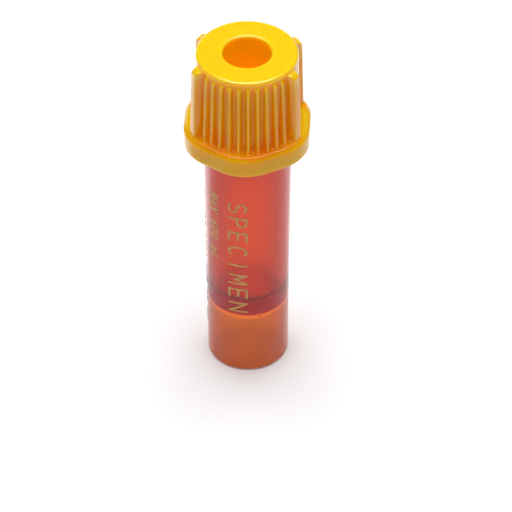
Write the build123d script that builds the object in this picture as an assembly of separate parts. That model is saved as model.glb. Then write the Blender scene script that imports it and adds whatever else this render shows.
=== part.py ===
from build123d import *
from math import cos, radians, sin
import os

# Capillary micro-collection tube with a separate push-on cap.
# Millimetres, +Z up, origin at the centre of the skirt's foot.

# --- tube body ---
TUBE_FOOT_R = 4.86         # outside, over the straight foot stretch
TUBE_TOP_R = 5.05          # outside, where the flare to the collar begins
FOOT_STRAIGHT_Z = 8.0      # the draft starts here
FLARE_Z = 32.2             # where the drafted wall would meet the collar's underside
FLARE_ROUND = 1.4
SKIRT_BORE_R = 4.0         # open socket under the reservoir
SKIRT_TOP_Z = 8.6
BORE_R = 3.52              # reservoir: 200 microlitres for each 5.14 of height
BORE_FLOOR_Z = 9.7
BORE_FLOOR_ROUND = 2.0
COLLAR_R = 6.38
COLLAR_BOTTOM_Z = 33.0
COLLAR_TOP_Z = 34.25
NECK_R = 4.72
RIM_Z = 43.40
GATE_R, GATE_PROUD = 0.28, 0.05
GATE_Z, GATE_AZIMUTH = 8.9, -73.0

# --- cap ---
CAP_TOP_Z = 45.0
CAP_MOUTH_Z = 33.0
FLANGE_FLAT_R = 7.12       # rounded hexagon: axis to the middle of a flat
FLANGE_CORNER_ROUND = 5.0  # one corner points along GRIP_AZIMUTH
FLANGE_TOP_Z = 35.53
FLANGE_CHAMFER = 0.42
FLANGE_FOOT_ROUND = 0.2
CAP_WALL_BOTTOM_R = 5.80   # the smooth wall between the ribs
CAP_TOP_R = 5.73
WELL_R = 2.695
WELL_FLOOR_Z = 36.0
WELL_FLOOR_THICK = 1.1
PLUG_CLEARANCE = 0.02
COLLAR_CLEARANCE = 0.07
NECK_CLEARANCE = 0.07
SEAT_GAP = 0.03

# --- grip: ribs between four lobes, angles from the middle of the front sector ---
GRIP_AZIMUTH = -94.2
GRIP_BOTTOM_Z = 35.2
GRIP_TOP_Z = 44.05
RIB_BOTTOM_R, RIB_TOP_R, RIB_WIDTH = 6.48, 6.11, 0.55
LOBE_BOTTOM_R, LOBE_TOP_R, LOBE_WIDTH = 6.90, 6.66, 1.50
PAD_WIDTH = 1.50
FRONT_RIBS, FRONT_PITCH = 10, 10.0
BACK_RIBS_PER_SIDE, BACK_PITCH, BACK_FIRST = 4, 10.3, 14.3
LOBE_ANGLES = (-60.0, 60.0, 120.0, -120.0)

# --- print: ink layers on the tube's outside ---
INK_THICK = 0.05
INK_LINE = 0.27
MARKS = {"400": 24.93, "600": 30.07}    # volume in microlitres: height of its line
MARK_START, MARK_ARC = 127.5, 64.5
DIGIT_HEIGHT, DIGIT_WIDTH = 2.60, 1.50
DIGIT_AZIMUTHS = (70.0, 92.6, 115.2)
WORD_TOP_Z = 27.2
WORD_LINES = (  # text, azimuth, letter height, pitch
    ("SPECIMEN", -104.0, 2.10, 2.24),
    ("MAX 600 uL", -141.0, 1.30, 1.06),
)
LOT_TOP_Z = 22.6
LOT_LINE = ("LOT 0000 EXP 00 00", 180.0, 1.25, 1.02)
LOT_INK_LINE = 0.20


def turned(points, rounds):
    """A solid turned about Z from an outline of (radius, height) points with corner radii."""
    outline = FilletPolyline(*[(r, 0, z) for r, z in points], radius=rounds, close=True)
    return revolve(make_face(outline), Axis.Z)


def at_azimuth(shape, azimuth):
    """The shape turned about Z from +X to an azimuth."""
    return Rot(0, 0, azimuth) * shape


def tube_radius(z):
    """Outside radius of the drafted tube wall at a height."""
    along = (z - FOOT_STRAIGHT_Z) / (FLARE_Z - FOOT_STRAIGHT_Z)
    return TUBE_FOOT_R + (TUBE_TOP_R - TUBE_FOOT_R) * max(0.0, along)


def make_tube():
    """Skirt, reservoir, collar and neck in one moulding, with its gate mark."""
    body = turned(
        [(SKIRT_BORE_R, 0), (TUBE_FOOT_R, 0), (TUBE_FOOT_R, FOOT_STRAIGHT_Z),
         (TUBE_TOP_R, FLARE_Z), (COLLAR_R, COLLAR_BOTTOM_Z), (COLLAR_R, COLLAR_TOP_Z),
         (NECK_R, COLLAR_TOP_Z), (NECK_R, RIM_Z), (BORE_R, RIM_Z),
         (BORE_R, BORE_FLOOR_Z), (0, BORE_FLOOR_Z), (0, SKIRT_TOP_Z), (SKIRT_BORE_R, SKIRT_TOP_Z)],
        [0.15, 0.45, 0, FLARE_ROUND, 0.25, 0.15, 0, 0.35, 0.35, BORE_FLOOR_ROUND, 0, 0, 0.5],
    )
    reach = tube_radius(GATE_Z) + GATE_PROUD
    gate = Plane.YZ * Cylinder(GATE_R, reach - BORE_R, align=(Align.CENTER, Align.CENTER, Align.MIN))
    gate = Pos(BORE_R + 0.3, 0, GATE_Z) * gate
    gate = gate & Cylinder(reach, 3 * CAP_TOP_Z)
    return body + at_azimuth(gate, GATE_AZIMUTH)


def make_ridge(bottom_r, top_r, width, edge_round):
    """One straight grip ridge on +X: leaning crest, sloped top end, rounded long edges."""
    root_r = CAP_TOP_R - 0.25
    outline = Polyline(
        (root_r, 0, GRIP_BOTTOM_Z), (bottom_r, 0, GRIP_BOTTOM_Z), (top_r, 0, GRIP_TOP_Z),
        (CAP_TOP_R - 0.02, 0, GRIP_TOP_Z + 0.55), (root_r, 0, GRIP_TOP_Z + 0.55), close=True)
    ridge = extrude(make_face(outline), width / 2, both=True)
    crest = [e for e in ridge.edges()
             if e.center().X > CAP_TOP_R + 0.1 and abs(e.center().Y) > 0.4 * width
             and e.center().Z > GRIP_BOTTOM_Z + 0.1]
    return fillet(crest, edge_round)


def grip_ridges():
    """All ribs, the wide pad at the back and the four lobes."""
    rib = make_ridge(RIB_BOTTOM_R, RIB_TOP_R, RIB_WIDTH, 0.18)
    lobe = make_ridge(LOBE_BOTTOM_R, LOBE_TOP_R, LOBE_WIDTH, 0.45)
    pad = make_ridge(RIB_BOTTOM_R, RIB_TOP_R, PAD_WIDTH, 0.18)
    front = [FRONT_PITCH * (i - (FRONT_RIBS - 1) / 2) for i in range(FRONT_RIBS)]
    back = [180 + side * (BACK_FIRST + BACK_PITCH * i)
            for side in (-1, 1) for i in range(BACK_RIBS_PER_SIDE)]
    ridges = [at_azimuth(rib, GRIP_AZIMUTH + a) for a in front + back]
    ridges += [at_azimuth(lobe, GRIP_AZIMUTH + a) for a in LOBE_ANGLES]
    return ridges + [at_azimuth(pad, GRIP_AZIMUTH + 180)]


def make_flange(hole_r):
    """The rounded hexagon round the mouth, chamfered on the grip's side."""
    outline = RegularPolygon(FLANGE_FLAT_R, 6, major_radius=False)
    outline = fillet(outline.vertices(), FLANGE_CORNER_ROUND)
    flange = Pos(0, 0, CAP_MOUTH_Z) * extrude(outline, FLANGE_TOP_Z - CAP_MOUTH_Z)
    flange = chamfer(flange.faces().sort_by(Axis.Z)[-1].edges(), FLANGE_CHAMFER)
    flange = fillet(flange.faces().sort_by(Axis.Z)[0].edges(), FLANGE_FOOT_ROUND)
    return at_azimuth(flange, GRIP_AZIMUTH) - Cylinder(hole_r, 3 * CAP_TOP_Z)


def make_cap():
    """Disc, finger well and plug, ribbed grip wall and flange in one moulding."""
    plug_r = BORE_R - PLUG_CLEARANCE
    pocket_r = NECK_R + NECK_CLEARANCE
    pocket_top = RIM_Z + SEAT_GAP
    mouth_r = COLLAR_R + COLLAR_CLEARANCE
    mouth_top = COLLAR_TOP_Z + SEAT_GAP
    sleeve_r = mouth_r + 0.15
    body = turned(
        [(WELL_R, CAP_TOP_Z), (WELL_R, WELL_FLOOR_Z), (0, WELL_FLOOR_Z),
         (0, WELL_FLOOR_Z - WELL_FLOOR_THICK), (plug_r, WELL_FLOOR_Z - WELL_FLOOR_THICK),
         (plug_r, pocket_top), (pocket_r, pocket_top), (pocket_r, mouth_top),
         (mouth_r, mouth_top), (mouth_r, CAP_MOUTH_Z), (sleeve_r, CAP_MOUTH_Z),
         (sleeve_r, FLANGE_TOP_Z), (CAP_WALL_BOTTOM_R, FLANGE_TOP_Z), (CAP_TOP_R, CAP_TOP_Z)],
        [0.30, 0.4, 0, 0, 0.4, 0, 0, 0, 0, 0.08, 0, 0, 0.3, 0.35],
    )
    return body + make_flange(mouth_r + 0.1) + grip_ridges()


def letter_strokes(letter, width, height):
    """Centre lines of a plain upright letter that fills a box of the given width and height."""
    def line(*points):
        return Polyline(*[(x * width, y * height) for x, y in points])

    def bend(x, y, across, up, start=0, size=180):
        return EllipticalCenterArc(
            (x * width, y * height), across * width, up * height, start, arc_size=size)

    shapes = {
        "A": lambda: [line((0, 0), (0.5, 1), (1, 0)), line((0.17, 0.33), (0.83, 0.33))],
        "C": lambda: [bend(0.55, 0.5, 0.55, 0.5, 50, 260)],
        "E": lambda: [line((0.95, 1), (0, 1), (0, 0), (0.95, 0)), line((0, 0.52), (0.8, 0.52))],
        "I": lambda: [line((0.5, 0), (0.5, 1))],
        "L": lambda: [line((0.05, 1), (0.05, 0), (0.95, 0))],
        "M": lambda: [line((0, 0), (0, 1), (0.5, 0.35), (1, 1), (1, 0))],
        "N": lambda: [line((0, 0), (0, 1), (1, 0), (1, 1))],
        "O": lambda: [bend(0.5, 0.5, 0.55, 0.5), bend(0.5, 0.5, 0.55, 0.5, 180)],
        "P": lambda: [line((0.5, 0.48), (0, 0.48), (0, 0)), line((0, 0.48), (0, 1), (0.5, 1)),
                      bend(0.5, 0.74, 0.45, 0.26, -90)],
        "S": lambda: [bend(0.5, 0.75, 0.45, 0.25, 30, 240), bend(0.5, 0.25, 0.47, 0.25, 210, 240)],
        "T": lambda: [line((0, 1), (1, 1)), line((0.5, 1), (0.5, 0))],
        "X": lambda: [line((0, 0), (1, 1)), line((0, 1), (1, 0))],
        "u": lambda: [line((0.1, 0.7), (0.1, -0.2)), line((0.8, 0.7), (0.8, 0)),
                      bend(0.45, 0.225, 0.35, 0.225, 180)],
        "0": lambda: [bend(0.5, 0.5, 0.45, 0.5), bend(0.5, 0.5, 0.45, 0.5, 180)],
        "4": lambda: [line((0.75, 0), (0.75, 1)), line((0.75, 1), (0, 0.3), (1, 0.3))],
        "6": lambda: [bend(0.5, 0.3, 0.45, 0.3), bend(0.5, 0.3, 0.45, 0.3, 180),
                      bend(1.0, 0.3, 0.95, 0.7, 100, 80)],
    }
    return shapes[letter]()


def letter_face(letter, width, height, line):
    """A letter as flat ink, centred on its own middle."""
    ink = Sketch() + [trace(stroke, line_width=line) for stroke in letter_strokes(letter, width, height)]
    return Pos(-width / 2, -height / 2) * ink


def ink_shell(low_z, high_z):
    """The thin layer on the tube's outside that ink can fill, between two heights."""
    low_r, high_r = tube_radius(low_z), tube_radius(high_z)
    outline = Polyline((low_r, 0, low_z), (low_r + INK_THICK, 0, low_z),
                       (high_r + INK_THICK, 0, high_z), (high_r, 0, high_z), close=True)
    return revolve(make_face(outline), Axis.Z)


def inked(face, azimuth, z, upright, shell):
    """A flat letter laid on the tube: upright, or running down the tube from the cap."""
    outward = Vector(cos(radians(azimuth)), sin(radians(azimuth)), 0)
    across = Vector(-sin(radians(azimuth)), cos(radians(azimuth)), 0)
    plane = Plane(origin=(0, 0, z), x_dir=across if upright else (0, 0, -1), z_dir=outward)
    return extrude(plane * face, CAP_TOP_R) & shell


def text_line(text, azimuth, height, pitch, top_z, line):
    """Letters running down the tube from top_z, their tops towards larger azimuths."""
    width = 0.62 * min(height, pitch)
    shell = ink_shell(top_z - pitch * len(text) - height, top_z + height)
    letters = []
    for place, letter in enumerate(text):
        if letter != " ":
            face = letter_face(letter, width, height, line)
            letters.append(inked(face, azimuth, top_z - pitch * (place + 0.5), False, shell))
    return letters


def make_scale_print():
    """Volume lines round the tube with upright numbers beside them."""
    ink = []
    for number, z in MARKS.items():
        band = ink_shell(z - INK_LINE / 2, z + INK_LINE / 2)
        wedge = extrude(make_face(Polyline(
            (0, 0), (9, 0), (9 * cos(radians(MARK_ARC / 2)), 9), (9 * cos(radians(MARK_ARC)),
            9 * sin(radians(MARK_ARC))), close=True)), CAP_TOP_Z)
        ink.append(band & at_azimuth(wedge, MARK_START))
        shell = ink_shell(z - DIGIT_HEIGHT, z + DIGIT_HEIGHT)
        for digit, azimuth in zip(number, DIGIT_AZIMUTHS):
            face = letter_face(digit, DIGIT_WIDTH, DIGIT_HEIGHT, INK_LINE)
            ink.append(inked(face, azimuth, z, True, shell))
    return ink


def make_name_print():
    """The plain lettering along the front of the tube."""
    ink = []
    for text, azimuth, height, pitch in WORD_LINES:
        ink += text_line(text, azimuth, height, pitch, WORD_TOP_Z, INK_LINE)
    return ink


def make_lot_print():
    """The small dark lot and date line down the side of the tube."""
    text, azimuth, height, pitch = LOT_LINE
    return text_line(text, azimuth, height, pitch, LOT_TOP_Z, LOT_INK_LINE)


def write_part(name, shapes):
    """One STEP file for one sub-part, from one solid or a group of separate solids."""
    solids = [s for shape in shapes for s in shape.solids()]
    body = solids[0] if len(solids) == 1 else Compound(children=solids)
    export_step(body, f"parts/{name}.step")


os.makedirs("parts", exist_ok=True)
write_part("tube", [make_tube()])
write_part("cap", [make_cap()])
write_part("scale_print", make_scale_print())
write_part("name_print", make_name_print())
write_part("lot_print", make_lot_print())
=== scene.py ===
import logging
from dataclasses import dataclass, field
from enum import Enum
from math import pi, radians

import bmesh
import bpy
import numpy as np
from mathutils import Matrix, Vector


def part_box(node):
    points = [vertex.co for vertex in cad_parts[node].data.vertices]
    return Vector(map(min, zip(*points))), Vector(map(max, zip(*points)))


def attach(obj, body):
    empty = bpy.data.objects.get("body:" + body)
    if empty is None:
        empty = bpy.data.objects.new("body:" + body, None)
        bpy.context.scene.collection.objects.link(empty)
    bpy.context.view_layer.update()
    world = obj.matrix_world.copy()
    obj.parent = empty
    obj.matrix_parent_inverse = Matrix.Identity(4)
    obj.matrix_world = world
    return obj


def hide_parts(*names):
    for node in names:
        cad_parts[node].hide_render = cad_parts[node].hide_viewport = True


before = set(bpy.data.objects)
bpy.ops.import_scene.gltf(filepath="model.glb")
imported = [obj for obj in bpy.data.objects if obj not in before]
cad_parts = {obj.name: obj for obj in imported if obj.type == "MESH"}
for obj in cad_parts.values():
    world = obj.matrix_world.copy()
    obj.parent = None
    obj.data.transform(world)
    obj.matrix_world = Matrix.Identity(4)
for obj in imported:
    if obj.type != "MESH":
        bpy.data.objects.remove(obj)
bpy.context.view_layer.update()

# A capillary micro-collection tube: clear amber tube, ribbed yellow cap and three ink prints.
# Shapes are worked out in millimetres on numpy grids, and go into their meshes in metres.
# Azimuths are degrees about +Z from +X.

MM = 0.001
log = logging.getLogger("microtube")


# --- surfaces ---

def unit(v: np.ndarray) -> np.ndarray:
    """Vectors along the last axis scaled to length 1; a zero vector stays zero."""
    return v / np.maximum(np.linalg.norm(v, axis=-1, keepdims=True), 1e-12)


def smooth_step(t: np.ndarray) -> np.ndarray:
    """0 below 0, 1 above 1, and 3t^2 - 2t^3 between."""
    t = np.clip(t, 0.0, 1.0)
    return t * t * (3.0 - 2.0 * t)


def rounded_outline(corners: np.ndarray, rounds: list[float] | tuple[float, ...], steps: int = 7,
                    ) -> np.ndarray:
    """An open outline whose inner corners are turned into arcs.

    Each arc touches both sides at round / tan(half the corner's angle) from the corner, and its
    points are the first radius turned evenly into the last one.

    Args:
        corners: (n, 2) radius and height of each corner.
        rounds: radius of each corner but the first and last.
        steps: number of chords in an arc.

    Returns:
        (m, 2) points, without repeats.
    """
    corners = np.asarray(corners, float)
    size = np.asarray(rounds, float)[:, None]
    apex = corners[1:-1]
    back, ahead = unit(corners[:-2] - apex), unit(corners[2:] - apex)
    half = 0.5 * np.arccos(np.clip((back * ahead).sum(1, keepdims=True), -1.0, 1.0))
    first, last = apex + back * size / np.tan(half), apex + ahead * size / np.tan(half)
    centre = apex + unit(back + ahead) * size / np.sin(half)
    sweep = np.maximum(pi - 2.0 * half, 1e-6)[:, None]
    t = np.linspace(0.0, 1.0, steps + 1)[None, :, None]
    arcs = (centre[:, None] + (np.sin((1 - t) * sweep) * (first - centre)[:, None]
                               + np.sin(t * sweep) * (last - centre)[:, None]) / np.sin(sweep))
    points = np.vstack([corners[:1], arcs.reshape(-1, 2), corners[-1:]])
    kept = np.linalg.norm(np.diff(points, axis=0), axis=1) > 1e-5
    return points[np.concatenate([[True], kept])]


def with_supports(outline: np.ndarray, gap: float = 0.12, shortest: float = 0.5) -> np.ndarray:
    """An outline with a point added near both ends of each long stretch, to hold the shading.

    Args:
        outline: (n, 2) points.
        gap: distance of an added point from the stretch's end.
        shortest: stretches shorter than this get none.

    Returns:
        (m, 2) points, the same line with more points.
    """
    length = np.linalg.norm(np.diff(outline, axis=0), axis=1)
    along = np.concatenate([[0.0], np.cumsum(length)])
    long = length > shortest
    knots = np.sort(np.concatenate([along, along[:-1][long] + gap, along[1:][long] - gap]))
    return np.stack([np.interp(knots, along, outline[:, k]) for k in (0, 1)], axis=1)


def turned_grid(outline: np.ndarray, azimuths: np.ndarray) -> tuple[np.ndarray, np.ndarray]:
    """Radius and height grids of an outline turned about the axis: the same at every azimuth.

    Args:
        outline: (rows, 2) radius and height.
        azimuths: (columns,) angles.

    Returns:
        The radius and the height, both (rows, columns).
    """
    shape = (len(outline), len(azimuths))
    return (np.broadcast_to(outline[:, :1], shape).copy(),
            np.broadcast_to(outline[:, 1:], shape).copy())


def round_the_axis(radius: np.ndarray, azimuth: np.ndarray, height: np.ndarray) -> np.ndarray:
    """Points from polar grids: x = r cos a, y = r sin a, z = h.

    Args:
        radius: (rows, columns) distances from the axis.
        azimuth: angles in radians, of a shape that fits the radius.
        height: heights, of a shape that fits the radius.

    Returns:
        (rows, columns, 3) points.
    """
    return np.stack([radius * np.cos(azimuth), radius * np.sin(azimuth),
                     np.broadcast_to(height, radius.shape)], axis=-1)


def closed_mesh(name: str, grids: list[np.ndarray],
                masks: dict[str, np.ndarray] | None = None) -> bpy.types.Object:
    """One smooth closed mesh from grids whose columns wrap round and whose end rows close up.

    Args:
        name: the object's name.
        grids: (rows, columns, 3) points of each skin, in millimetres.
        masks: a value per point for each attribute's name, in the grids' order.

    Returns:
        The object, at the origin, with doubles merged and faces pointing outwards.
    """
    faces, first = [], 0
    for grid in grids:
        rows, cols = grid.shape[:2]
        index = first + np.arange(rows * cols).reshape(rows, cols)
        right = np.roll(index, -1, axis=1)
        faces.append(np.stack([index[:-1], right[:-1], right[1:], index[1:]], axis=-1).reshape(-1, 4))
        first += rows * cols
    points = np.concatenate([g.reshape(-1, 3) for g in grids]) * MM
    mesh = bpy.data.meshes.new(name)
    mesh.from_pydata(points.tolist(), [], np.concatenate(faces).tolist())
    for key, values in (masks or {}).items():
        layer = mesh.attributes.new(key, "FLOAT", "POINT")
        layer.data.foreach_set("value", values.astype(np.float32).ravel())
    work = bmesh.new()
    work.from_mesh(mesh)
    bmesh.ops.remove_doubles(work, verts=work.verts, dist=1e-8)
    bmesh.ops.recalc_face_normals(work, faces=work.faces)
    work.to_mesh(mesh)
    work.free()
    mesh.shade_smooth()
    piece = bpy.data.objects.new(name, mesh)
    bpy.context.scene.collection.objects.link(piece)
    return piece


# --- shader wiring ---

@dataclass
class Wiring:
    """A node tree with short ways to add nodes and links."""

    tree: bpy.types.NodeTree

    def add(self, kind: str, **values: object) -> bpy.types.Node:
        """A new node.

        Args:
            kind: the node's type name.
            values: its settings, or with a name in_NUMBER or an input's name, an input's value or link.

        Returns:
            The node.
        """
        node = self.tree.nodes.new(kind)
        for key, value in values.items():
            if hasattr(node, key) and not key.startswith("in_"):
                setattr(node, key, value)
        for key, value in values.items():
            if key.startswith("in_"):
                number = key[3:]
                socket = node.inputs[int(number) if number.isdigit() else number.replace("_", " ")]
                self.feed(socket, value)
        return node

    def feed(self, socket: bpy.types.NodeSocket, value: object) -> None:
        """Links a socket to another one, or sets its value.

        Args:
            socket: the input to feed.
            value: an output to link to it, or a plain value.
        """
        if isinstance(value, bpy.types.NodeSocket):
            self.tree.links.new(value, socket)
        else:
            socket.default_value = value

    def blend(self, factor: object, low: object, high: object) -> bpy.types.NodeSocket:
        """The colour between two others.

        Args:
            factor: 0 for the low colour, 1 for the high one.
            low: a colour or a socket.
            high: a colour or a socket.

        Returns:
            The colour's socket.
        """
        node = self.add("ShaderNodeMix", data_type="RGBA", in_0=factor, in_6=low, in_7=high)
        return node.outputs[2]

    def range(self, value: object, low: float, high: float, to_low: object, to_high: object,
              ) -> bpy.types.NodeSocket:
        """A value carried smoothly from one range to another, and held at its ends.

        Args:
            value: a number's socket.
            low: start of the range it comes from.
            high: end of that range.
            to_low: result at the start.
            to_high: result at the end.

        Returns:
            The result's socket.
        """
        node = self.add("ShaderNodeMapRange", interpolation_type="SMOOTHSTEP", in_0=value,
                        in_1=low, in_2=high, in_3=to_low, in_4=to_high)
        return node.outputs[0]

    def sum(self, kind: str, a: object, b: object) -> bpy.types.NodeSocket:
        """One step of arithmetic.

        Args:
            kind: such as ADD or MULTIPLY.
            a: a number or a socket.
            b: a number or a socket.

        Returns:
            The result's socket.
        """
        return self.add("ShaderNodeMath", operation=kind, in_0=a, in_1=b).outputs[0]

    def millimetres(self) -> bpy.types.NodeSocket:
        """The point on the object, in millimetres."""
        here = self.add("ShaderNodeTexCoord").outputs["Object"]
        return self.add("ShaderNodeVectorMath", operation="SCALE", in_0=here, in_Scale=1.0 / MM).outputs[0]

    def noise(self, at: object, scale: object, detail: float = 2.0) -> bpy.types.NodeSocket:
        """Soft noise.

        Args:
            at: the point's socket.
            scale: blotches per unit of the point.
            detail: octaves of finer noise on top.

        Returns:
            The noise's socket, about 0.5 on average.
        """
        return self.add("ShaderNodeTexNoise", in_Vector=at, in_Scale=scale, in_Detail=detail).outputs[0]


def effect_group(name: str, inputs: dict[str, object], outputs: dict[str, str]) -> tuple[Wiring, dict, dict]:
    """An empty shader node group with named sockets.

    Args:
        name: the group's name.
        inputs: each input's name and starting value, a number or a colour.
        outputs: each output's name and kind, Float or Color.

    Returns:
        The group's wiring, its inputs as sockets to read and its outputs as sockets to feed.
    """
    tree = bpy.data.node_groups.new(name, "ShaderNodeTree")
    for key, start in inputs.items():
        kind = "NodeSocketColor" if isinstance(start, tuple) else "NodeSocketFloat"
        tree.interface.new_socket(key, in_out="INPUT", socket_type=kind).default_value = start
    for key, kind in outputs.items():
        tree.interface.new_socket(key, in_out="OUTPUT", socket_type="NodeSocket" + kind)
    source, sink = tree.nodes.new("NodeGroupInput"), tree.nodes.new("NodeGroupOutput")
    return Wiring(tree), source.outputs, sink.inputs


def moulded_skin_group() -> bpy.types.NodeTree:
    """The skin of a moulding: slow flow marks, fine grain and hairline scuffs along the axis.

    Returns:
        A group with inputs Gloss, Scuffs, Flow and Grain, and outputs Roughness, Height and Blotch.
        Roughness is the gloss plus blotches plus scuffs; Height is in millimetres.
    """
    w, given, made = effect_group(
        "moulded_skin", {"Gloss": 0.2, "Scuffs": 0.1, "Flow": 0.004, "Grain": 0.001},
        {"Roughness": "Float", "Height": "Float", "Blotch": "Float"})
    here = w.millimetres()
    slow = w.noise(here, 0.17, 1.0)
    fine = w.noise(here, 6.0, 3.0)
    stretched = w.add("ShaderNodeMapping", in_Vector=here, in_Scale=(7.0, 7.0, 0.55)).outputs[0]
    hairs = w.range(w.noise(stretched, 1.0, 4.0), 0.60, 0.70, 0.0, 1.0)
    patches = w.range(w.noise(here, 0.35, 2.0), 0.45, 0.65, 0.0, 1.0)
    scuffs = w.sum("MULTIPLY", hairs, patches)
    rough = w.sum("ADD", given["Gloss"], w.range(slow, 0.3, 0.7, -0.015, 0.02))
    rough = w.sum("ADD", rough, w.sum("MULTIPLY", scuffs, given["Scuffs"]))
    w.feed(made["Roughness"], rough)
    height = w.sum("MULTIPLY", slow, given["Flow"])
    height = w.sum("ADD", height, w.sum("MULTIPLY", fine, given["Grain"]))
    height = w.sum("SUBTRACT", height, w.sum("MULTIPLY", w.sum("MULTIPLY", scuffs, given["Scuffs"]), 0.004))
    w.feed(made["Height"], height)
    w.feed(made["Blotch"], w.range(slow, 0.3, 0.7, 0.0, 1.0))
    return w.tree


def ink_film_group() -> bpy.types.NodeTree:
    """A thin printed film: uneven coverage, pinholes where the wall shows, and a faint relief.

    Returns:
        A group with inputs Ink, Thin, Wear and Satin, and outputs Color, Roughness and Height.
    """
    w, given, made = effect_group(
        "ink_film", {"Ink": (0.8, 0.5, 0.2, 1.0), "Thin": (0.6, 0.3, 0.1, 1.0), "Wear": 0.3, "Satin": 0.4},
        {"Color": "Color", "Roughness": "Float", "Height": "Float"})
    here = w.millimetres()
    cover = w.noise(here, 2.2, 3.0)
    specks = w.range(w.noise(here, 11.0, 2.0), 0.62, 0.72, 0.0, 1.0)
    thin = w.sum("MULTIPLY", w.range(cover, 0.42, 0.68, 0.15, 1.0), given["Wear"])
    thin = w.sum("ADD", thin, w.sum("MULTIPLY", specks, given["Wear"]))
    w.feed(made["Color"], w.blend(thin, given["Ink"], given["Thin"]))
    w.feed(made["Roughness"], w.sum("ADD", given["Satin"], w.range(cover, 0.3, 0.7, -0.05, 0.08)))
    w.feed(made["Height"], w.sum("MULTIPLY", w.sum("SUBTRACT", cover, specks), 0.004))
    return w.tree


def dressed(name: str) -> tuple[bpy.types.Material, Wiring, bpy.types.Node]:
    """A new node material.

    Args:
        name: the material's name.

    Returns:
        The material, its wiring and its Principled shader.
    """
    material = bpy.data.materials.new(name)
    material.use_nodes = True
    wiring = Wiring(material.node_tree)
    return material, wiring, material.node_tree.nodes["Principled BSDF"]


@dataclass(frozen=True)
class AmberFinish:
    """Clear amber plastic: glossy outside, satin where a core pin shaped it, tinted by the path's length."""

    index: float = 1.49
    gloss: float = 0.04
    satin: float = 0.42
    mask: str = "core"
    tint: tuple[float, float, float, float] = (0.975, 0.790, 0.10, 1.0)
    density: float = 4500.0

    def material(self, skin: bpy.types.NodeTree) -> bpy.types.Material:
        """The amber material.

        Args:
            skin: the moulded_skin group.

        Returns:
            The material.
        """
        material, w, shader = dressed("clear_amber")
        core = w.add("ShaderNodeAttribute", attribute_name=self.mask).outputs["Fac"]
        marks = w.add("ShaderNodeGroup", node_tree=skin, in_Scuffs=0.04, in_Flow=0.005, in_Grain=0.0002,
                      in_Gloss=w.range(core, 0.0, 1.0, self.gloss, self.satin))
        bump = w.add("ShaderNodeBump", in_Strength=0.6, in_Distance=MM, in_Height=marks.outputs["Height"])
        shader.inputs["Base Color"].default_value = (1.0, 1.0, 1.0, 1.0)
        shader.inputs["Transmission Weight"].default_value = 1.0
        shader.inputs["IOR"].default_value = self.index
        w.feed(shader.inputs["Roughness"], marks.outputs["Roughness"])
        w.feed(shader.inputs["Normal"], bump.outputs[0])
        depth = w.add("ShaderNodeVolumeAbsorption", in_Color=self.tint, in_Density=self.density)
        w.feed(material.node_tree.nodes["Material Output"].inputs["Volume"], depth.outputs[0])
        return material


@dataclass(frozen=True)
class YellowFinish:
    """Yellow moulded plastic, slightly translucent, with painted shade in orange where a mask marks it and a
    painted glow as emission.
    """

    # crest is the plain yellow; the next colour is a painted shade copy of it, and glow a painted glow shown
    # as emission.
    crest: tuple[float, float, float, float] = (0.93, 0.575, 0.0, 1.0)
    painted_shade_colour: tuple[float, float, float, float] = (0.96, 0.27, 0.0, 1.0)
    glow: tuple[float, float, float, float] = (0.38, 0.17, 0.0, 1.0)
    dull: float = 0.94
    mottle: float = 0.35
    gloss: float = 0.17
    specular: float = 0.3
    sheen: float = 0.9
    sheen_gloss: float = 0.06
    # Masks on the mesh: painted shade, painted glow, and the coat's weight.
    painted_shade_mask: str = "painted_shade"
    glow_mask: str = "glow"
    sheen_mask: str = "sheen"

    def material(self, skin: bpy.types.NodeTree) -> bpy.types.Material:
        """The yellow material.

        Args:
            skin: the moulded_skin group.

        Returns:
            The material.
        """
        material, w, shader = dressed("sunny_yellow")
        marks = w.add("ShaderNodeGroup", node_tree=skin, in_Gloss=self.gloss, in_Scuffs=0.12,
                      in_Flow=0.006, in_Grain=0.0012)
        # Painted shade: the plain yellow turns to its orange shade copy where the mask marks shade.
        painted_shade = w.add("ShaderNodeAttribute", attribute_name=self.painted_shade_mask).outputs["Fac"]
        painted_glow_amount = w.add("ShaderNodeAttribute", attribute_name=self.glow_mask).outputs["Fac"]
        polish = w.add("ShaderNodeAttribute", attribute_name=self.sheen_mask).outputs["Fac"]
        tone = w.blend(painted_shade, self.crest, self.painted_shade_colour)
        dull = tuple(self.dull * c for c in self.crest[:3]) + (1.0,)
        tone = w.blend(w.range(marks.outputs["Blotch"], 0.0, 1.0, 0.0, self.mottle), tone, dull)
        bump = w.add("ShaderNodeBump", in_Strength=0.5, in_Distance=MM, in_Height=marks.outputs["Height"])
        w.feed(shader.inputs["Base Color"], tone)
        w.feed(shader.inputs["Roughness"], marks.outputs["Roughness"])
        w.feed(shader.inputs["Normal"], bump.outputs[0])
        # Painted glow: emission standing in for light coming through the plastic.
        w.feed(shader.inputs["Emission Color"], w.blend(painted_glow_amount, (0.0, 0.0, 0.0, 1.0), self.glow))
        shader.inputs["Emission Strength"].default_value = 1.0
        shader.inputs["IOR"].default_value = 1.5
        w.feed(shader.inputs["Coat Weight"], w.sum("MULTIPLY", polish, self.sheen))
        shader.inputs["Specular IOR Level"].default_value = self.specular
        shader.inputs["Coat Roughness"].default_value = self.sheen_gloss
        shader.inputs["Subsurface Weight"].default_value = 1.0
        shader.inputs["Subsurface Radius"].default_value = (1.0, 0.36, 0.03)
        shader.inputs["Subsurface Scale"].default_value = 1.8 * MM
        return material


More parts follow.
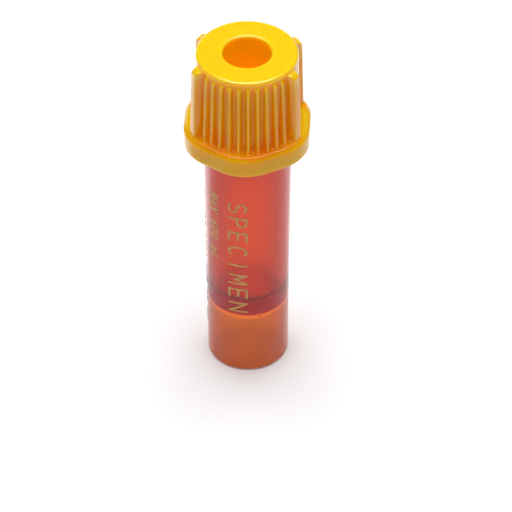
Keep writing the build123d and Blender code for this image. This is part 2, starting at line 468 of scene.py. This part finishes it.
@dataclass(frozen=True)
class InkFinish:
    """A satin printed ink."""

    name: str
    ink: tuple[float, float, float, float]
    thin: tuple[float, float, float, float]
    wear: float
    satin: float

    def material(self, film: bpy.types.NodeTree) -> bpy.types.Material:
        """The ink material.

        Args:
            film: the ink_film group.

        Returns:
            The material.
        """
        material, w, shader = dressed(self.name)
        print_film = w.add("ShaderNodeGroup", node_tree=film, in_Ink=self.ink, in_Thin=self.thin,
                           in_Wear=self.wear, in_Satin=self.satin)
        relief = print_film.outputs["Height"]
        bump = w.add("ShaderNodeBump", in_Strength=0.5, in_Distance=MM, in_Height=relief)
        w.feed(shader.inputs["Base Color"], print_film.outputs["Color"])
        w.feed(shader.inputs["Roughness"], print_film.outputs["Roughness"])
        w.feed(shader.inputs["Normal"], bump.outputs[0])
        return material


# --- tube ---

@dataclass
class TubeMoulding:
    """Skirt, reservoir, collar and neck in one clear moulding."""

    foot_r: float = 4.86
    top_r: float = 5.05
    straight_z: float = 8.0
    flare_z: float = 32.2
    skirt_bore_r: float = 4.0
    skirt_top_z: float = 8.6
    bore_r: float = 3.52
    floor_z: float = 9.7
    floor_round: float = 2.0
    collar_z: tuple[float, float] = (33.0, 34.25)
    neck_r: float = 4.72
    upper_rounds: tuple[float, ...] = (0.35, 0.35, 0.1, 0.15, 0.25, 1.4)
    skirt_rounds: tuple[float, ...] = (0.0, 0.45, 0.15, 0.5)
    gate_z: float = 8.9
    gate_azimuth: float = -73.0
    gate_r: float = 0.34
    gate_proud: float = 0.16
    gate_edge: float = 0.30
    columns: int = 320
    collar_r: float = field(init=False)
    rim_z: float = field(init=False)

    def __post_init__(self) -> None:
        """The collar's radius and the rim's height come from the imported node."""
        low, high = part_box("tube")
        self.collar_r = high[0] / MM
        self.rim_z = high[2] / MM

    def wall_r(self, z: np.ndarray | float) -> np.ndarray:
        """Outside radius: straight over the foot, then growing evenly to the flare.

        Args:
            z: heights.

        Returns:
            The radius at each height.
        """
        along = np.maximum(0.0, (np.asarray(z) - self.straight_z) / (self.flare_z - self.straight_z))
        return self.foot_r + (self.top_r - self.foot_r) * along

    def outline(self) -> np.ndarray:
        """The moulding's section.

        Returns:
            (n, 2) radius and height, from the middle of the reservoir's floor, up the bore, over
            the rim and down the outside, to the middle of the floor's underside.
        """
        gate_rows = self.gate_z - np.linspace(-0.45, 0.45, 13)
        corners = np.vstack([
            [(0, self.floor_z), (self.bore_r, self.floor_z), (self.bore_r, self.rim_z),
             (self.neck_r, self.rim_z), (self.neck_r, self.collar_z[1]),
             (self.collar_r, self.collar_z[1]), (self.collar_r, self.collar_z[0]),
             (self.top_r, self.flare_z)],
            np.stack([self.wall_r(gate_rows), gate_rows], axis=1),
            [(self.foot_r, self.straight_z), (self.foot_r, 0), (self.skirt_bore_r, 0),
             (self.skirt_bore_r, self.skirt_top_z), (0, self.skirt_top_z)]])
        rounds = [self.floor_round, *self.upper_rounds, *([0.0] * len(gate_rows)), *self.skirt_rounds]
        return with_supports(rounded_outline(corners, rounds))

    def build(self) -> bpy.types.Object:
        """The outline turned about the axis, with the gate's small round mark raised on the wall.

        The mark adds its height times a smooth step of the distance from its middle along the wall.

        Returns:
            The finished object.
        """
        outline = self.outline()
        azimuths = np.linspace(0.0, 2 * pi, self.columns, endpoint=False)
        radius, height = turned_grid(outline, azimuths)
        around = (azimuths - radians(self.gate_azimuth) + pi) % (2 * pi) - pi
        away = np.hypot(around[None] * radius, height - self.gate_z)
        on_wall = radius > self.skirt_bore_r + 0.5
        radius += on_wall * self.gate_proud * smooth_step((self.gate_r - away) / self.gate_edge)
        core = smooth_step((self.skirt_bore_r + 0.25 - radius) / 0.25)
        return closed_mesh("amber_tube", [round_the_axis(radius, azimuths[None], height)], {"core": core})


# --- cap ---

@dataclass
class Ridge:
    """One upright ridge of the cap's grip.

    radii are its crest's at the bottom and the top, flank the distances from its middle where the
    flank starts and ends, and end the heights between which its top is rounded off.
    """

    azimuth: float
    radii: tuple[float, float]
    flank: tuple[float, float]
    end: tuple[float, float]


@dataclass
class CapMoulding:
    """Disc, finger well, plug, ribbed grip wall and flange in one yellow moulding."""

    wall_bottom_r: float = 5.80
    wall_top_r: float = 5.73
    flange_top_z: float = 35.53
    chamfer: float = 0.42
    well_r: float = 2.695
    well_floor_z: float = 36.0
    plug_r: float = 3.50
    plug_end_z: float = 34.9
    pocket_r: float = 4.79
    pocket_top_z: float = 43.43
    mouth_r: float = 6.45
    mouth_top_z: float = 34.28
    middle: float = -94.2
    rib_end: tuple[float, float] = (43.64, 44.32)
    lobe_end: tuple[float, float] = (43.95, 44.62)
    front_ribs: tuple[int, float] = (10, 10.0)
    back_ribs: tuple[int, float, float] = (4, 10.3, 14.3)
    lobe_turns: tuple[float, ...] = (-60.0, 60.0, 120.0, -120.0)
    rib_radii: tuple[float, float] = (6.48, 6.11)
    lobe_radii: tuple[float, float] = (6.90, 6.66)
    rib_flank: tuple[float, float] = (0.08, 0.40)
    lobe_flank: tuple[float, float] = (0.40, 0.88)
    pad_flank: tuple[float, float] = (0.55, 0.92)
    flank_r: float = 6.1
    # Painted shade in the grooves: how far a ridge's shade reaches, and the rise that makes it full.
    shade_reach: float = 0.85
    shade_full: float = 0.75
    # Ridges crowding within this reach set the painted shade on the flange's top.
    crowd_reach: float = 2.0
    crowd_full: float = 2.5
    polish_rise: float = 0.25
    crest_polish: float = 0.3
    # Painted glow, shown as emission, in the grooves and inside the cap; painted shade inside the cap and
    # near the top.
    groove_glow: float = 0.10
    inside_glow: float = 0.2
    inside_painted_shade: float = 0.8
    top_shade: float = 0.35
    join_z: float = 43.0
    heel_limit: float = 0.75
    top_rounds: tuple[float, ...] = (0.4, 0.34, 0.37)
    under_rounds: tuple[float, ...] = (0.22, 0.18, 0.2, 0.12, 0.15, 0.12, 0.15, 0.12, 0.4)
    # Painted shade on the upright walls, which the overhead light reaches less than the top.
    upright: float = 0.58
    columns: int = 720
    flat_r: float = 7.119
    corner_round: float = 5.0
    mouth_z: float = field(init=False)
    top_z: float = field(init=False)

    def __post_init__(self) -> None:
        """The mouth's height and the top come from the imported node."""
        low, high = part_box("cap")
        self.mouth_z, self.top_z = low[2] / MM, high[2] / MM

    def hexagon_r(self, azimuth: np.ndarray, inset: np.ndarray) -> np.ndarray:
        """Radius of the flange's rounded hexagon, drawn in by an inset, at each azimuth.

        Within reach of a corner it is the far side of the corner's circle, c cos a plus the root of
        the circle's radius squared less (c sin a) squared, where c is how far the circle's middle
        lies from the axis. Beyond it is the flat, its distance over the cosine from its middle.

        Args:
            azimuth: in radians.
            inset: how far inside the outline, in millimetres.

        Returns:
            The radius, of both arguments' broadcast shape.
        """
        turn = np.abs((azimuth - radians(self.middle) + pi / 6) % (pi / 3) - pi / 6)
        out = (self.flat_r - self.corner_round) / np.cos(pi / 6)
        size = self.corner_round - inset
        reach = np.arctan2(size / 2, out + size * np.cos(pi / 6))
        corner = out * np.cos(turn) + np.sqrt(size ** 2 - (out * np.sin(turn)) ** 2)
        return np.where(turn < reach, corner, (self.flat_r - inset) / np.cos(pi / 6 - turn))

    def ridges(self) -> list[Ridge]:
        """Every ridge of the grip.

        Returns:
            Ten ribs in front, four on each side of a wide pad behind, four lobes between, the pad.
        """
        count, pitch = self.front_ribs
        front = [pitch * (i - (count - 1) / 2) for i in range(count)]
        count, pitch, start = self.back_ribs
        back = [180 + side * (start + pitch * i) for side in (-1, 1) for i in range(count)]
        made = [Ridge(self.middle + turn, self.rib_radii, self.rib_flank, self.rib_end)
                for turn in front + back]
        made += [Ridge(self.middle + turn, self.lobe_radii, self.lobe_flank, self.lobe_end)
                 for turn in self.lobe_turns]
        return made + [Ridge(self.middle + 180, self.rib_radii, self.pad_flank, self.rib_end)]

    def wall_r(self, z: np.ndarray) -> np.ndarray:
        """Radius of the smooth wall between the ridges, which leans in evenly to the top.

        Args:
            z: heights.

        Returns:
            The radius at each height.
        """
        along = (z - self.flange_top_z) / (self.top_z - self.flange_top_z)
        return self.wall_bottom_r + (self.wall_top_r - self.wall_bottom_r) * along

    def grip(self, azimuth: np.ndarray, z: np.ndarray) -> tuple[np.ndarray, ...]:
        """Radius of the ribbed wall, its painted shade, how polished it is, and how crowded its foot.

        A ridge stands on the wall by its crest's height there, times a smooth step across its
        flank, times a quarter ellipse over its top end. The painted shade, an orange darkening in
        the grooves, is what nearby ridges rise above the point, from bells of 0.85 mm about their
        middles. Polish grows with the rise and is full on the top ends. The foot is crowded where
        several ridges stand within 2 mm.

        Args:
            azimuth: (1, columns) in radians.
            z: (rows, columns) heights.

        Returns:
            The radius, and the painted shade and polish from 0 to 1, all (rows, columns), and the
            crowding from 0 to 1, (1, columns), which sets the painted shade on the flange's top.
        """
        along = np.clip((z - self.flange_top_z) / (self.rib_end[0] - self.flange_top_z), 0.0, 1.1)
        wall = self.wall_r(z)
        rise = np.zeros_like(z)
        near = np.zeros_like(z)
        crowd = np.zeros_like(azimuth)
        for ridge in self.ridges():
            low, high = ridge.end
            dome = np.sqrt(1.0 - np.clip((z - low) / (high - low), 0.0, 1.0) ** 2)
            turn = (azimuth - radians(ridge.azimuth) + pi) % (2 * pi) - pi
            across = np.abs(turn) * self.flank_r
            bottom_r, top_r = ridge.radii
            start, stop = ridge.flank
            tall = (bottom_r + (top_r - bottom_r) * along - wall) * dome
            rise = np.maximum(rise, tall * smooth_step((stop - across) / (stop - start)))
            # Painted shade in the grooves: how far nearby ridges rise above this point.
            near += tall * np.exp(-(across / self.shade_reach) ** 2)
            crowd += np.exp(-(across / self.crowd_reach) ** 2)
        painted_shade = np.clip((near - rise) / self.shade_full, 0.0, 1.0)
        on_end = smooth_step((z - self.rib_end[0]) / self.polish_rise)
        most = self.crest_polish + (1.0 - self.crest_polish) * on_end
        polish = smooth_step(rise / self.polish_rise) * most
        return wall + rise, painted_shade, polish, smooth_step(crowd / self.crowd_full)

    def build(self) -> bpy.types.Object:
        """The whole skin, from the well's floor over the disc, down the grip and up inside.

        Well and disc, and flange, mouth, pocket and plug, are outlines turned about the axis. The
        grip between them is a height field whose foot turns out to the flange on a quarter circle,
        as large as there is room for before the chamfer.

        Returns:
            The finished object.
        """
        azimuths = np.linspace(0.0, 2 * pi, self.columns, endpoint=False)
        top = rounded_outline(
            [(0, self.well_floor_z), (self.well_r, self.well_floor_z), (self.well_r, self.top_z),
             (self.wall_top_r, self.top_z), (float(self.wall_r(np.array(self.join_z))), self.join_z)],
            self.top_rounds, 8)[:-1]
        top = with_supports(top)
        rim_r = self.flat_r - self.chamfer
        under = rounded_outline(
            [(rim_r - 0.5, self.flange_top_z), (rim_r, self.flange_top_z),
             (self.flat_r, self.flange_top_z - self.chamfer), (self.flat_r, self.mouth_z),
             (self.mouth_r, self.mouth_z), (self.mouth_r, self.mouth_top_z),
             (self.pocket_r, self.mouth_top_z), (self.pocket_r, self.pocket_top_z),
             (self.plug_r, self.pocket_top_z), (self.plug_r, self.plug_end_z), (0, self.plug_end_z)],
            self.under_rounds, 5)[1:]
        under = with_supports(under)

        start_z = top[-1, 1]
        foot_r, _, _, crowd = self.grip(azimuths[None], np.full((1, self.columns), self.flange_top_z))
        bend = np.clip(self.hexagon_r(azimuths[None], self.chamfer + 0.12) - foot_r, 0.002,
                       self.heel_limit)
        dome = np.linspace(0.0, 1.0, 12) ** 1.3 * (start_z - self.rib_end[0])
        rest = np.linspace(0.0, 1.0, 12)[1:]
        low_z = self.rib_end[0] - rest[:, None] * (self.rib_end[0] - self.flange_top_z - bend)
        z = np.vstack([np.broadcast_to((start_z - dome)[1:, None], (11, self.columns)), low_z])
        grip_r, painted_shade, polish, _ = self.grip(azimuths[None], z)
        turn = np.linspace(0.0, pi / 2, 7)[1:, None]
        heel_r = grip_r[-1:] + bend * (1 - np.cos(turn))
        heel_z = self.flange_top_z + bend * (1 - np.sin(turn))

        top_r, top_h = turned_grid(top, azimuths)
        under_r, under_h = turned_grid(under, azimuths)
        outside = under_r > self.mouth_r + 0.15
        under_r = np.where(outside, self.hexagon_r(azimuths[None], self.flat_r - under_r), under_r)
        # Masks for the yellow material: painted shade on the well, the upper wall, the grooves, the heel and
        # the flange; painted glow in the well, the grooves and inside; sheen sets the coat.
        below = self.top_z - 0.1 - top_h
        in_well = smooth_step((self.well_r + 0.12 - top_r) / 0.2) * smooth_step(below / 1.2)
        inside = 1.0 - outside
        rim = smooth_step((self.flange_top_z - under_h) / self.chamfer) * outside
        # Painted shade on the upright walls, full lower down and lighter near the top.
        deep = smooth_step((self.lobe_end[0] - z) / 2.5)
        tone = self.upright * (self.top_shade + (1.0 - self.top_shade) * deep)
        grip_painted_shade = tone + (1.0 - tone) * painted_shade
        # Painted shade on the heel, passing into the flange's.
        heel = grip_painted_shade[-1:] + (crowd - grip_painted_shade[-1:]) * np.sin(turn)
        # Painted shade on the wall just below the lip.
        lip = smooth_step(below / 0.3) * self.upright * self.top_shade
        edge = outside * np.exp(-((self.flange_top_z - under_h) / 0.12) ** 2)
        # Painted shade on the flange: on its top as ridges crowd, on its chamfer and side a fixed share of
        # the upright walls', none at its bottom edge.
        brim = smooth_step((self.mouth_z + 0.45 - under_h) / 0.35) * outside
        flange = (crowd + (0.8 * self.upright - crowd) * rim) * (1.0 - brim)
        radius = np.vstack([top_r, grip_r, heel_r, under_r])
        height = np.vstack([top_h, z, heel_z, under_h])
        # Painted shade for the whole skin; inside the cap it is a fixed share.
        mask = np.vstack([np.maximum(in_well, lip), grip_painted_shade, heel,
                          np.where(outside, flange, self.inside_painted_shade)])
        sheen = np.vstack([1.0 - in_well, polish, polish[-1:] * np.cos(turn), edge])
        # Painted glow in the grooves, following their painted shade, and fainter inside the cap.
        in_grooves = self.groove_glow * painted_shade
        glow = np.vstack([in_well, in_grooves, in_grooves[-1:] * np.cos(turn), self.inside_glow * inside])
        return closed_mesh("yellow_cap", [round_the_axis(radius, azimuths[None], height)],
                           {"painted_shade": np.clip(mask, 0.0, 1.0), "glow": np.clip(glow, 0.0, 1.0),
                            "sheen": np.clip(sheen, 0.0, 1.0)})


# --- prints ---

class Reading(Enum):
    """Which way a line of letters runs."""

    UPRIGHT = "across the tube"
    DOWN = "down the tube from the cap"


def line(*points: tuple[float, float]) -> list[np.ndarray]:
    """The straight strokes between points that follow each other."""
    return [np.array(pair, float) for pair in zip(points[:-1], points[1:])]


def bend(x: float, y: float, across: float, up: float, start: float = 0, size: float = 360,
         ) -> list[np.ndarray]:
    """A stroke along an ellipse.

    Args:
        x: its middle across the letter.
        y: its middle up the letter.
        across: half its width.
        up: half its height.
        start: where the stroke starts, in degrees.
        size: how far it goes round, in degrees.

    Returns:
        A list of one (n, 2) stroke.
    """
    t = np.radians(start + np.linspace(0.0, size, 15))
    return [np.stack([x + across * np.cos(t), y + up * np.sin(t)], axis=1)]


LETTERS: dict[str, list[np.ndarray]] = {
    "A": line((0, 0), (0.5, 1), (1, 0)) + line((0.17, 0.33), (0.83, 0.33)),
    "C": bend(0.55, 0.5, 0.55, 0.5, 50, 260),
    "E": line((0.95, 1), (0, 1), (0, 0), (0.95, 0)) + line((0, 0.52), (0.8, 0.52)),
    "I": line((0.5, 0), (0.5, 1)),
    "L": line((0.05, 1), (0.05, 0), (0.95, 0)),
    "M": line((0, 0), (0, 1), (0.5, 0.35), (1, 1), (1, 0)),
    "N": line((0, 0), (0, 1), (1, 0), (1, 1)),
    "O": bend(0.5, 0.5, 0.55, 0.5),
    "P": (line((0.5, 0.48), (0, 0.48), (0, 0)) + line((0, 0.48), (0, 1), (0.5, 1))
          + bend(0.5, 0.74, 0.45, 0.26, -90, 180)),
    "S": bend(0.5, 0.75, 0.45, 0.25, 30, 240) + bend(0.5, 0.25, 0.47, 0.25, 210, 240),
    "T": line((0, 1), (1, 1)) + line((0.5, 1), (0.5, 0)),
    "X": line((0, 0), (1, 1)) + line((0, 1), (1, 0)),
    "u": (line((0.1, 0.7), (0.1, -0.2)) + line((0.8, 0.7), (0.8, 0))
          + bend(0.45, 0.225, 0.35, 0.225, 180, 180)),
    "0": bend(0.5, 0.5, 0.45, 0.5),
    "4": line((0.75, 0), (0.75, 1), (0, 0.3), (1, 0.3)),
    "6": bend(0.5, 0.3, 0.45, 0.3) + bend(1.0, 0.3, 0.95, 0.7, 100, 80),
}


@dataclass
class InkPrint:
    """Ink on the tube's outside, as rounded ribbons that follow the wall."""

    name: str
    wall: TubeMoulding
    line_width: float
    sunk: float = 0.006
    proud: float = 0.018
    step: float = 0.0015
    spacing: float = 0.16
    ribbons: list[np.ndarray] = field(default_factory=list)

    def stroke(self, path: np.ndarray, azimuth: float, z: float, reading: Reading) -> None:
        """Lays one stroke on the wall.

        The stroke is a ribbon of constant width whose ends are half circles. Its section is a flat
        film with bevelled edges. A distance across the tube becomes an angle, by dividing it by
        the wall's radius there. Strokes that follow each other differ by a step in thickness, so
        that crossing ones don't share a face.

        Args:
            path: (n, 2) the stroke's middle line, x along the reading direction and y up the letter.
            azimuth: where the letter's middle lies, in degrees.
            z: height of the letter's middle.
            reading: which way the line of letters runs.
        """
        half = self.line_width / 2
        length = np.linalg.norm(np.diff(path, axis=0), axis=1)
        along = np.concatenate([[0.0], np.cumsum(length)])
        body = np.linspace(0.0, along[-1], max(2, int(np.ceil(along[-1] / self.spacing)) + 1))
        middle = np.stack([np.interp(body, along, path[:, k]) for k in (0, 1)], axis=1)
        forward = unit(np.gradient(middle, axis=0))
        cap = np.sin(np.linspace(0.0, pi / 2, 5)[1:])[:, None] * half
        middle = np.vstack([(middle[0] - cap * forward[0])[::-1], middle, middle[-1] + cap * forward[-1]])
        forward = np.vstack([np.repeat(forward[:1], 4, 0), forward, np.repeat(forward[-1:], 4, 0)])
        width = np.sqrt(np.maximum(0.0, half * half - cap[:, 0] ** 2))
        width[-1] = 0.0
        width = np.concatenate([width[::-1], np.full(len(body), half), width])
        side = np.stack([-forward[:, 1], forward[:, 0]], axis=1)
        across = np.array([-1.0, -0.86, 0.0, 0.86, 1.0, 0.0])
        film = self.proud + self.step * (len(self.ribbons) % 5)
        lift = np.array([0.3 * film, film, film, film, 0.3 * film, -self.sunk])
        flat = middle[:, None] + side[:, None] * (width[:, None, None] * across[None, :, None])
        x, y = flat[..., 0], flat[..., 1]
        height = z + y if reading is Reading.UPRIGHT else z - x
        sideways = x if reading is Reading.UPRIGHT else y
        radius = self.wall.wall_r(height)
        angle = radians(azimuth) + sideways / radius
        self.ribbons.append(round_the_axis(radius + lift[None], angle, height))

    def letter(self, sign: str, width: float, height: float, azimuth: float, z: float,
               reading: Reading) -> None:
        """Lays one letter, centred on a place on the wall.

        Args:
            sign: the letter.
            width: its width.
            height: its height.
            azimuth: where its middle lies, in degrees.
            z: height of its middle.
            reading: which way the line of letters runs.
        """
        for path in LETTERS[sign]:
            self.stroke((path - 0.5) * (width, height), azimuth, z, reading)

    def text(self, words: str, azimuth: float, height: float, pitch: float, top_z: float) -> None:
        """Lays a line of letters down the tube, their tops towards larger azimuths.

        Args:
            words: the letters, with spaces.
            azimuth: where the line lies, in degrees.
            height: the letters' height.
            pitch: distance from letter to letter.
            top_z: height where the line starts.
        """
        width = 0.62 * min(height, pitch)
        for place, sign in enumerate(words):
            if sign != " ":
                self.letter(sign, width, height, azimuth, top_z - pitch * (place + 0.5), Reading.DOWN)

    def build(self) -> bpy.types.Object:
        """All the ribbons as one object."""
        return closed_mesh(self.name, self.ribbons)


@dataclass
class Prints:
    """The scale, the plain lettering and the lot line."""

    wall: TubeMoulding
    marks: tuple[tuple[str, float], ...] = (("400", 24.93), ("600", 30.07))
    mark_arc: tuple[float, float] = (127.5, 64.5)
    digit: tuple[float, float] = (1.50, 2.60)
    digit_azimuths: tuple[float, ...] = (70.0, 92.6, 115.2)
    words: tuple[tuple[str, float, float, float], ...] = (
        ("SPECIMEN", -104.0, 2.10, 2.24), ("MAX 600 uL", -141.0, 1.30, 1.06))
    words_z: float = 27.2
    lot: tuple[str, float, float, float] = ("LOT 0000 EXP 00 00", 180.0, 1.25, 1.02)
    lot_z: float = 22.6

    def scale(self) -> bpy.types.Object:
        """The volume lines, each an arc on the wall, with their upright numbers.

        Returns:
            The finished object.
        """
        ink = InkPrint("gold_scale", self.wall, 0.27)
        start, size = self.mark_arc
        for number, z in self.marks:
            reach = radians(size) * float(self.wall.wall_r(z)) / 2 - 0.13
            ink.stroke(np.array([(-reach, 0.0), (reach, 0.0)]), start + size / 2, z, Reading.UPRIGHT)
            for sign, azimuth in zip(number, self.digit_azimuths):
                ink.letter(sign, *self.digit, azimuth, z, Reading.UPRIGHT)
        return ink.build()

    def name(self) -> bpy.types.Object:
        """The plain lettering along the front.

        Returns:
            The finished object.
        """
        ink = InkPrint("gold_lettering", self.wall, 0.27)
        for words, azimuth, height, pitch in self.words:
            ink.text(words, azimuth, height, pitch, self.words_z)
        return ink.build()

    def lot_line(self) -> bpy.types.Object:
        """The small dark line down the side.

        Returns:
            The finished object.
        """
        ink = InkPrint("dark_lot_line", self.wall, 0.19)
        ink.text(*self.lot, self.lot_z)
        return ink.build()


# --- studio ---

@dataclass
class Studio:
    """A plain pale floor, one broad softbox overhead, faint light all round, and the camera."""

    softbox: tuple[float, float] = (0.62, 0.72)
    softbox_back: float = 0.08
    softbox_power: float = 5.9
    fill: float = 0.34
    fill_gloss: float = 0.12
    back_glow: float = 0.6
    back_y: tuple[float, float] = (8.0, 15.0)
    back_x: tuple[float, float] = (-6.0, 20.0)
    back_right: float = 0.2
    lens: float = 191.5
    place: tuple[float, float, float] = (-0.405, -235.894, 232.868)
    pitch: float = -42.826
    yaw: float = 0.332
    roll: float = -0.068

    def floor(self) -> None:
        """A pale floor, faintly mottled, at the height of the tube's foot.

        It throws back less light than it shows, and behind the tube it looks brighter in mirrors.
        """
        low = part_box("tube")[0][2]
        reach = 1.5
        mesh = bpy.data.meshes.new("pale_floor")
        corners = [(-reach, -reach, low), (reach, -reach, low), (reach, reach, low), (-reach, reach, low)]
        mesh.from_pydata(corners, [], [(0, 1, 2, 3)])
        floor = bpy.data.objects.new("pale_floor", mesh)
        bpy.context.scene.collection.objects.link(floor)
        material, w, shader = dressed("pale_floor")
        mottle = w.noise(w.millimetres(), 0.02, 2.0)
        pale = w.blend(mottle, (0.93, 0.93, 0.93, 1.0), (0.95, 0.95, 0.95, 1.0))
        path = w.add("ShaderNodeLightPath").outputs
        w.feed(shader.inputs["Base Color"], w.blend(path["Is Diffuse Ray"], pale, (0.62, 0.62, 0.62, 1.0)))
        here = w.add("ShaderNodeSeparateXYZ", in_0=w.millimetres()).outputs
        outside = w.sum("SUBTRACT", 1.0, path["Is Transmission Ray"])
        mirrored = w.sum("MULTIPLY", path["Is Glossy Ray"], outside)
        behind = w.sum("MULTIPLY", w.range(here["Y"], *self.back_y, 0.0, 1.0),
                       w.range(here["X"], *self.back_x, 1.0, self.back_right))
        behind = w.sum("MULTIPLY", behind, mirrored)
        w.feed(shader.inputs["Emission Color"], w.blend(behind, (0.0, 0.0, 0.0, 1.0), (1.0, 1.0, 1.0, 1.0)))
        shader.inputs["Emission Strength"].default_value = self.back_glow
        shader.inputs["Roughness"].default_value = 0.7
        shader.inputs["Specular IOR Level"].default_value = 0.2
        mesh.materials.append(material)

    def lights(self) -> None:
        """The softbox, and a world that is white to look at but gives little light."""
        size, height = self.softbox
        lamp = bpy.data.lights.new("overhead_softbox", "AREA")
        lamp.shape, lamp.size, lamp.energy = "SQUARE", size, self.softbox_power
        box = bpy.data.objects.new("overhead_softbox", lamp)
        box.location = (0.0, self.softbox_back, height)
        box.rotation_euler = Matrix.Rotation(-np.arctan2(self.softbox_back, height), 4, "X").to_euler()
        box.visible_camera = False
        bpy.context.scene.collection.objects.link(box)
        world = bpy.data.worlds.new("studio")
        world.use_nodes = True
        bpy.context.scene.world = world
        w = Wiring(world.node_tree)
        path = w.add("ShaderNodeLightPath")
        seen = w.sum("MAXIMUM", path.outputs["Is Camera Ray"], path.outputs["Is Transmission Ray"])
        back = world.node_tree.nodes["Background"]
        back.inputs[0].default_value = (1.0, 1.0, 1.0, 1.0)
        lit = w.range(path.outputs["Is Glossy Ray"], 0.0, 1.0, self.fill, self.fill_gloss)
        w.feed(back.inputs[1], w.range(seen, 0.0, 1.0, lit, 1.0))

    def camera(self) -> None:
        """The camera, turned about Z by the yaw, tipped by the pitch and rolled about its own axis."""
        lens = bpy.data.cameras.new("camera")
        lens.lens, lens.sensor_width = self.lens, 36.0
        lens.clip_start, lens.clip_end = 0.01, 10.0
        camera = bpy.data.objects.new("camera", lens)
        bpy.context.scene.collection.objects.link(camera)
        turn = (Matrix.Rotation(-radians(self.yaw), 4, "Z")
                @ Matrix.Rotation(radians(90.0 + self.pitch), 4, "X")
                @ Matrix.Rotation(radians(self.roll), 4, "Z"))
        camera.matrix_world = Matrix.Translation([c * MM for c in self.place]) @ turn
        bpy.context.scene.camera = camera

    def build(self) -> None:
        """Sets the studio up."""
        self.floor()
        self.lights()
        self.camera()
        bpy.context.scene.view_settings.view_transform = "Standard"


def place(piece: bpy.types.Object, body: str, node: str, slot: str, material: bpy.types.Material) -> None:
    """Dresses a finished piece, gives it its body and hides the CAD node it stands for.

    Args:
        piece: the object.
        body: the CAD body it moves with.
        node: the CAD node it replaces.
        slot: a material slot's name; not used.
        material: its finish.
    """
    piece.data.materials.append(material)
    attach(piece, body)
    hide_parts(node)
    log.info("%s: %d faces, stands for %s on %s", piece.name, len(piece.data.polygons), node, body)


def main() -> None:
    """Builds the studio, the two mouldings and the three prints."""
    logging.basicConfig(level=logging.INFO, format="%(message)s")
    Studio().build()
    skin, film = moulded_skin_group(), ink_film_group()
    gold = InkFinish("gold_ink", ink=(0.66, 0.40, 0.12, 1.0), thin=(0.46, 0.21, 0.05, 1.0),
                     wear=0.35, satin=0.42).material(film)
    dark = InkFinish("dark_ink", ink=(0.030, 0.012, 0.022, 1.0), thin=(0.10, 0.03, 0.02, 1.0),
                     wear=0.5, satin=0.5).material(film)
    tube = TubeMoulding()
    place(tube.build(), "tube_body", "tube", "amber_plastic", AmberFinish().material(skin))
    place(CapMoulding().build(), "cap_body", "cap", "yellow_plastic", YellowFinish().material(skin))
    prints = Prints(tube)
    place(prints.scale(), "tube_body", "scale_print", "gold_ink", gold)
    place(prints.name(), "tube_body", "name_print", "gold_ink", gold)
    place(prints.lot_line(), "tube_body", "lot_print", "dark_ink", dark)


if __name__ == "__main__":
    main()
